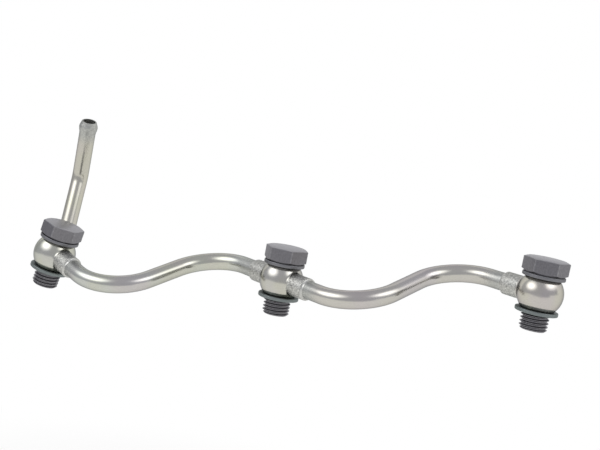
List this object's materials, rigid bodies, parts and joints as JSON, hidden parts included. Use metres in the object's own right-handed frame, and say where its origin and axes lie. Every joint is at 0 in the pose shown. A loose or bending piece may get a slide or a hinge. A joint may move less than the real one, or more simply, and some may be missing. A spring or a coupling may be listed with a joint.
{
  "type": "fuel line",
  "caption": "Rigid steel fuel line: ball shaped ring eyes on hollow bolts with sealing washers, joined by S bent tubes, with a rising tail that ends in a bead for a hose.",
  "frame": {"origin": "centre of the middle port face, where the middle lower washer seals, on the middle bolt's axis", "axes": "+Z along the middle bolt towards its head, +X towards the right eye, +Y away from the viewer"},
  "size_m": [0.2473, 0.065, 0.0801],
  "materials": {
    "eye": "bright zinc plate, fine turned surface",
    "tube": "satin zinc plate with a faint yellow tint",
    "bolt": "dark matt phosphate coat",
    "washer": "dull grey, slightly green",
    "braze": "plated braze"
  },
  "bodies": {
    "root": {"eye_left": "eye", "hollow_bolt_left": "bolt", "upper_washer_left": "washer", "lower_washer_left": "washer", "eye_middle": "eye", "hollow_bolt_middle": "bolt", "upper_washer_middle": "washer", "lower_washer_middle": "washer", "eye_right": "eye", "hollow_bolt_right": "bolt", "upper_washer_right": "washer", "lower_washer_right": "washer", "braze_ring_left_tail": "braze", "braze_ring_left_span": "braze", "braze_ring_middle_left": "braze", "braze_ring_middle_right": "braze", "braze_ring_right_span": "braze", "span_tube_left": "tube", "span_tube_right": "tube", "tail_tube": "tube"}
  },
  "joints": []
}
